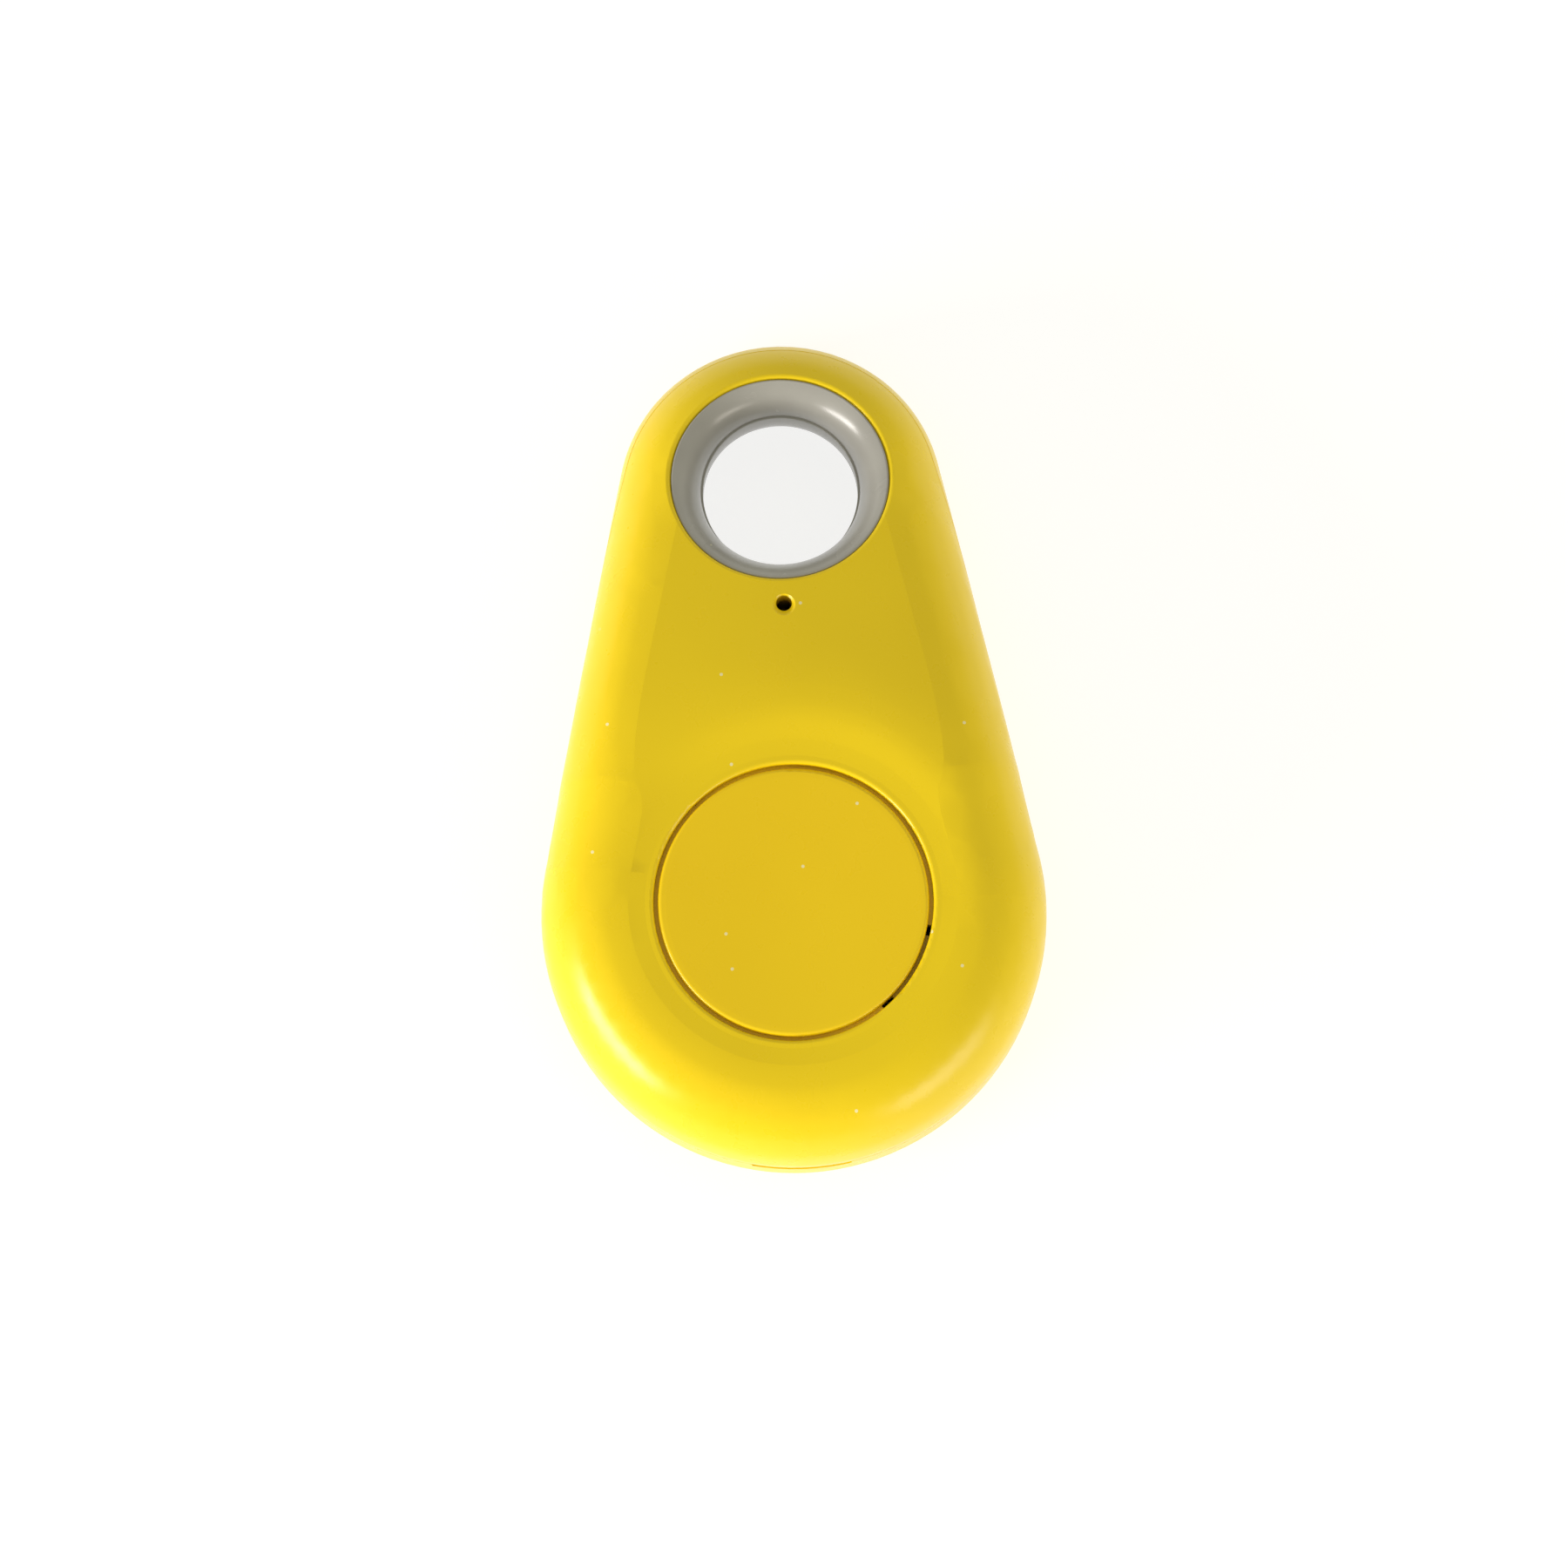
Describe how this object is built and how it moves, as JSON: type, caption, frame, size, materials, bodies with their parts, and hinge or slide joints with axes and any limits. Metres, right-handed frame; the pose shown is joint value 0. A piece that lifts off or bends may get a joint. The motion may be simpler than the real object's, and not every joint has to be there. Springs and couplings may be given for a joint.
{
  "type": "bluetooth tracker tag",
  "caption": "Teardrop key-finder tag: two snapped shells with a flared eyelet, a large press button over a tact switch, a sounder and a coin cell on a strap.",
  "frame": {"origin": "centre of the outer box at the flat back, with the tag lying on its back", "axes": "+Z out of the button face, +Y towards the eyelet, +X to the right seen from the front"},
  "size_m": [0.0306, 0.052, 0.011],
  "materials": {
    "yellow_shell": "satin, fine moulded grain",
    "yellow_button": "satin, fine moulded grain",
    "grey_liner": "semi-gloss",
    "board": "solder mask",
    "black_plastic": "moulded",
    "white_plastic": "moulded",
    "clear_lens": "clear resin",
    "tan_ceramic": "fired ceramic",
    "steel": "rolled sheet",
    "cell_steel": "turned",
    "iron": "turned",
    "magnet": "pressed",
    "copper_wire": "enamelled",
    "solder": "tinned",
    "gold_plate": "plated",
    "seal_plastic": "moulded",
    "lithium": "rolled"
  },
  "bodies": {
    "rear_case": {"rear_cover": "yellow_shell"},
    "front_case": {"front_cover": "yellow_shell", "eyelet_liner": "grey_liner", "circuit_board": "board", "switch_base": "black_plastic", "switch_dome": "steel", "switch_plate": "steel", "switch_terminals": "solder", "buzzer_case": "black_plastic", "buzzer_base": "board", "buzzer_pole": "iron", "buzzer_coil": "copper_wire", "buzzer_magnet": "magnet", "buzzer_spacer": "black_plastic", "buzzer_diaphragm": "steel", "buzzer_terminals": "solder", "led_base": "white_plastic", "led_lens": "clear_lens", "radio_chip": "black_plastic", "chip_lands": "solder", "crystal": "steel", "transistor": "black_plastic", "transistor_leads": "solder", "capacitor_bodies": "tan_ceramic", "capacitor_ends": "solder", "resistor_bodies": "black_plastic", "resistor_ends": "solder", "antenna_trace": "gold_plate", "negative_contact": "gold_plate", "battery_strap": "steel"},
    "button": {"button_cap": "yellow_button"},
    "plunger": {"switch_plunger": "black_plastic"},
    "coin_cell": {"cell_can": "cell_steel", "cell_cap": "cell_steel", "cell_seal": "seal_plastic", "cell_cathode": "magnet", "cell_anode": "lithium"}
  },
  "joints": [
    {"name": "case_open", "type": "slide", "parent": "rear_case", "child": "front_case", "axis": [0, 0, 1], "range_m": [0, 0.03]},
    {"name": "button_press", "type": "slide", "parent": "front_case", "child": "button", "axis": [0, 0, -1], "range_m": [0, 0.00025], "stiffness_N_per_m": 1600, "springref_m": -0.0005},
    {"name": "switch_press", "type": "slide", "parent": "front_case", "child": "plunger", "axis": [0, 0, -1], "range_m": [0, 0.00025], "deforming": ["switch_dome"]},
    {"name": "cell_slide", "type": "slide", "parent": "front_case", "child": "coin_cell", "axis": [0, -1, 0], "range_m": [0, 0.021]}
  ],
  "couplings": [
    {"joint": "switch_press", "follows": "button_press", "ratio": 1},
    {"joint": "cell_slide", "follows": "case_open", "ratio": 0.7}
  ]
}
